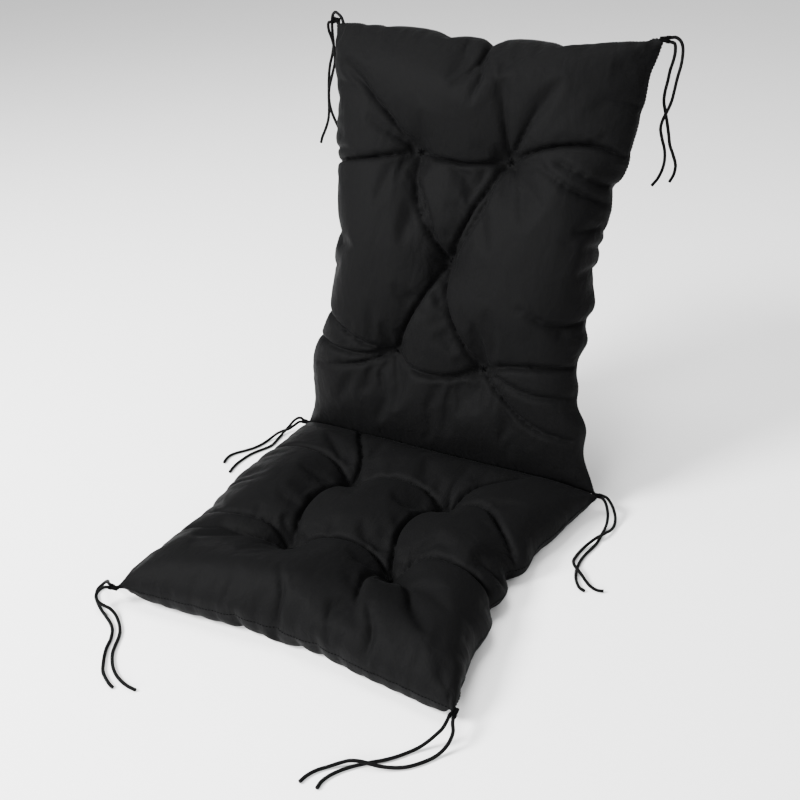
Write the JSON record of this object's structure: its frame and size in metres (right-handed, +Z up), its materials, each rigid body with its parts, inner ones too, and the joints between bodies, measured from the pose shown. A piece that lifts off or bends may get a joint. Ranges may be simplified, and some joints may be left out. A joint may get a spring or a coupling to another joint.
{
  "type": "chair seat and back pad",
  "caption": "Tufted high-back chair pad: a stuffed seat and a stuffed back joined at a sewn fold, with tie cords at the corners and the fold.",
  "frame": {"origin": "middle of the seat's flat underside, where the pad rests on the chair seat", "axes": "+Z up out of the seat; +Y from the seat's front edge towards the back pad; +X across the pad, to the right seen from the front"},
  "size_m": [0.6556, 0.7975, 0.6465],
  "materials": {
    "cover_cloth": "matte",
    "filling_fibre": "matte",
    "sewing_thread": "matte",
    "tie_cord": "matte"
  },
  "bodies": {
    "seat": {"seat_top_panel": "cover_cloth", "seat_bottom_panel": "cover_cloth", "seat_filling": "filling_fibre", "seat_edge_seam": "sewing_thread", "fold_seam": "sewing_thread", "seat_tuft_rear_left": "sewing_thread", "seat_tuft_rear_right": "sewing_thread", "seat_tuft_front_left": "sewing_thread", "seat_tuft_front_right": "sewing_thread", "corner_tack_front_left": "sewing_thread", "corner_tack_front_right": "sewing_thread", "corner_tack_fold_left": "sewing_thread", "corner_tack_fold_right": "sewing_thread", "tie_front_left_a": "tie_cord", "tie_front_left_b": "tie_cord", "tie_front_right_a": "tie_cord", "tie_front_right_b": "tie_cord", "tie_fold_left_a": "tie_cord", "tie_fold_left_b": "tie_cord", "tie_fold_right_a": "tie_cord", "tie_fold_right_b": "tie_cord"},
    "back": {"back_front_panel": "cover_cloth", "back_rear_panel": "cover_cloth", "back_filling": "filling_fibre", "back_edge_seam": "sewing_thread", "back_tuft_lower_left": "sewing_thread", "back_tuft_lower_right": "sewing_thread", "back_tuft_middle": "sewing_thread", "back_tuft_upper_left": "sewing_thread", "back_tuft_upper_right": "sewing_thread", "corner_tack_top_left": "sewing_thread", "corner_tack_top_right": "sewing_thread", "tie_top_left_a": "tie_cord", "tie_top_left_b": "tie_cord", "tie_top_right_a": "tie_cord", "tie_top_right_b": "tie_cord"}
  },
  "joints": [
    {"name": "back_fold", "type": "hinge", "parent": "seat", "child": "back", "pos_m": [0, 0.235, 0.028], "axis": [1, 0, 0], "range_deg": [-74, 45]}
  ]
}
